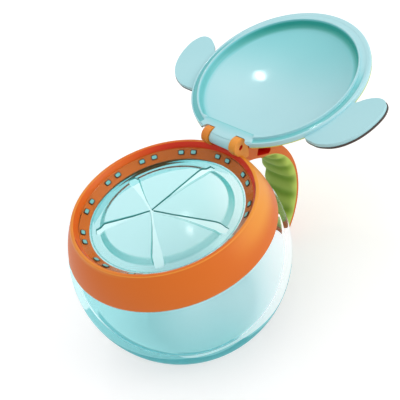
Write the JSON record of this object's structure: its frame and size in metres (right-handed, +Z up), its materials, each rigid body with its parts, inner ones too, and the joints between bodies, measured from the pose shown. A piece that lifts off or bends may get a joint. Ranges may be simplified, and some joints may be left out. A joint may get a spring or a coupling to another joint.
{
  "type": "toddler snack container",
  "caption": "Round clear snack cup with a snap-fit collar, carry handle, slit flap membrane and a hinged domed lid with two ear tabs.",
  "frame": {"origin": "centre of the bowl's flat foot, on the table", "axes": "+Z up; +Y towards the hinge and the handle; the lid hinge runs along X"},
  "size_m": [0.1112, 0.1621, 0.0914],
  "materials": {
    "bowl_clear": "clear tinted",
    "collar_orange": "satin moulded",
    "grip_green": "soft moulded",
    "membrane_clear": "soft clear",
    "lid_aqua": "satin moulded",
    "cover_lime": "satin moulded",
    "ear_brown": "satin moulded"
  },
  "bodies": {
    "bowl": {"bowl": "bowl_clear"},
    "collar": {"collar": "collar_orange", "handle_grip": "grip_green", "membrane_ring": "membrane_clear"},
    "lid": {"lid_shell": "lid_aqua", "lid_cover": "cover_lime", "ear_cover_left": "ear_brown", "ear_cover_right": "ear_brown"},
    "flap_1": {"flap_1": "membrane_clear"},
    "flap_2": {"flap_2": "membrane_clear"},
    "flap_3": {"flap_3": "membrane_clear"},
    "flap_4": {"flap_4": "membrane_clear"},
    "flap_5": {"flap_5": "membrane_clear"}
  },
  "joints": [
    {"name": "collar_lift", "type": "slide", "parent": "bowl", "child": "collar", "axis": [0, 0, 1], "range_m": [0, 0.03]},
    {"name": "lid_hinge", "type": "hinge", "parent": "collar", "child": "lid", "pos_m": [0, 0.0376, 0.0736], "axis": [1, 0, 0], "range_deg": [0, 169]},
    {"name": "flap_1_bend", "type": "hinge", "parent": "collar", "child": "flap_1", "pos_m": [0.00142, -0.02328, 0.063], "axis": [-0.9981, -0.061, 0], "range_deg": [0, 55], "stiffness_Nm_per_rad": 0.01},
    {"name": "flap_2_bend", "type": "hinge", "parent": "collar", "child": "flap_2", "pos_m": [0.0246, -0.00823, 0.063], "axis": [-0.3173, -0.9483, 0], "range_deg": [0, 55], "stiffness_Nm_per_rad": 0.01},
    {"name": "flap_3_bend", "type": "hinge", "parent": "collar", "child": "flap_3", "pos_m": [0.01359, 0.01771, 0.063], "axis": [0.7934, -0.6088, 0], "range_deg": [0, 55], "stiffness_Nm_per_rad": 0.01},
    {"name": "flap_4_bend", "type": "hinge", "parent": "collar", "child": "flap_4", "pos_m": [-0.01567, 0.01771, 0.063], "axis": [0.749, 0.6626, 0], "range_deg": [0, 55], "stiffness_Nm_per_rad": 0.01},
    {"name": "flap_5_bend", "type": "hinge", "parent": "collar", "child": "flap_5", "pos_m": [-0.02317, -0.00936, 0.063], "axis": [-0.3746, 0.9272, 0], "range_deg": [0, 55], "stiffness_Nm_per_rad": 0.01}
  ]
}
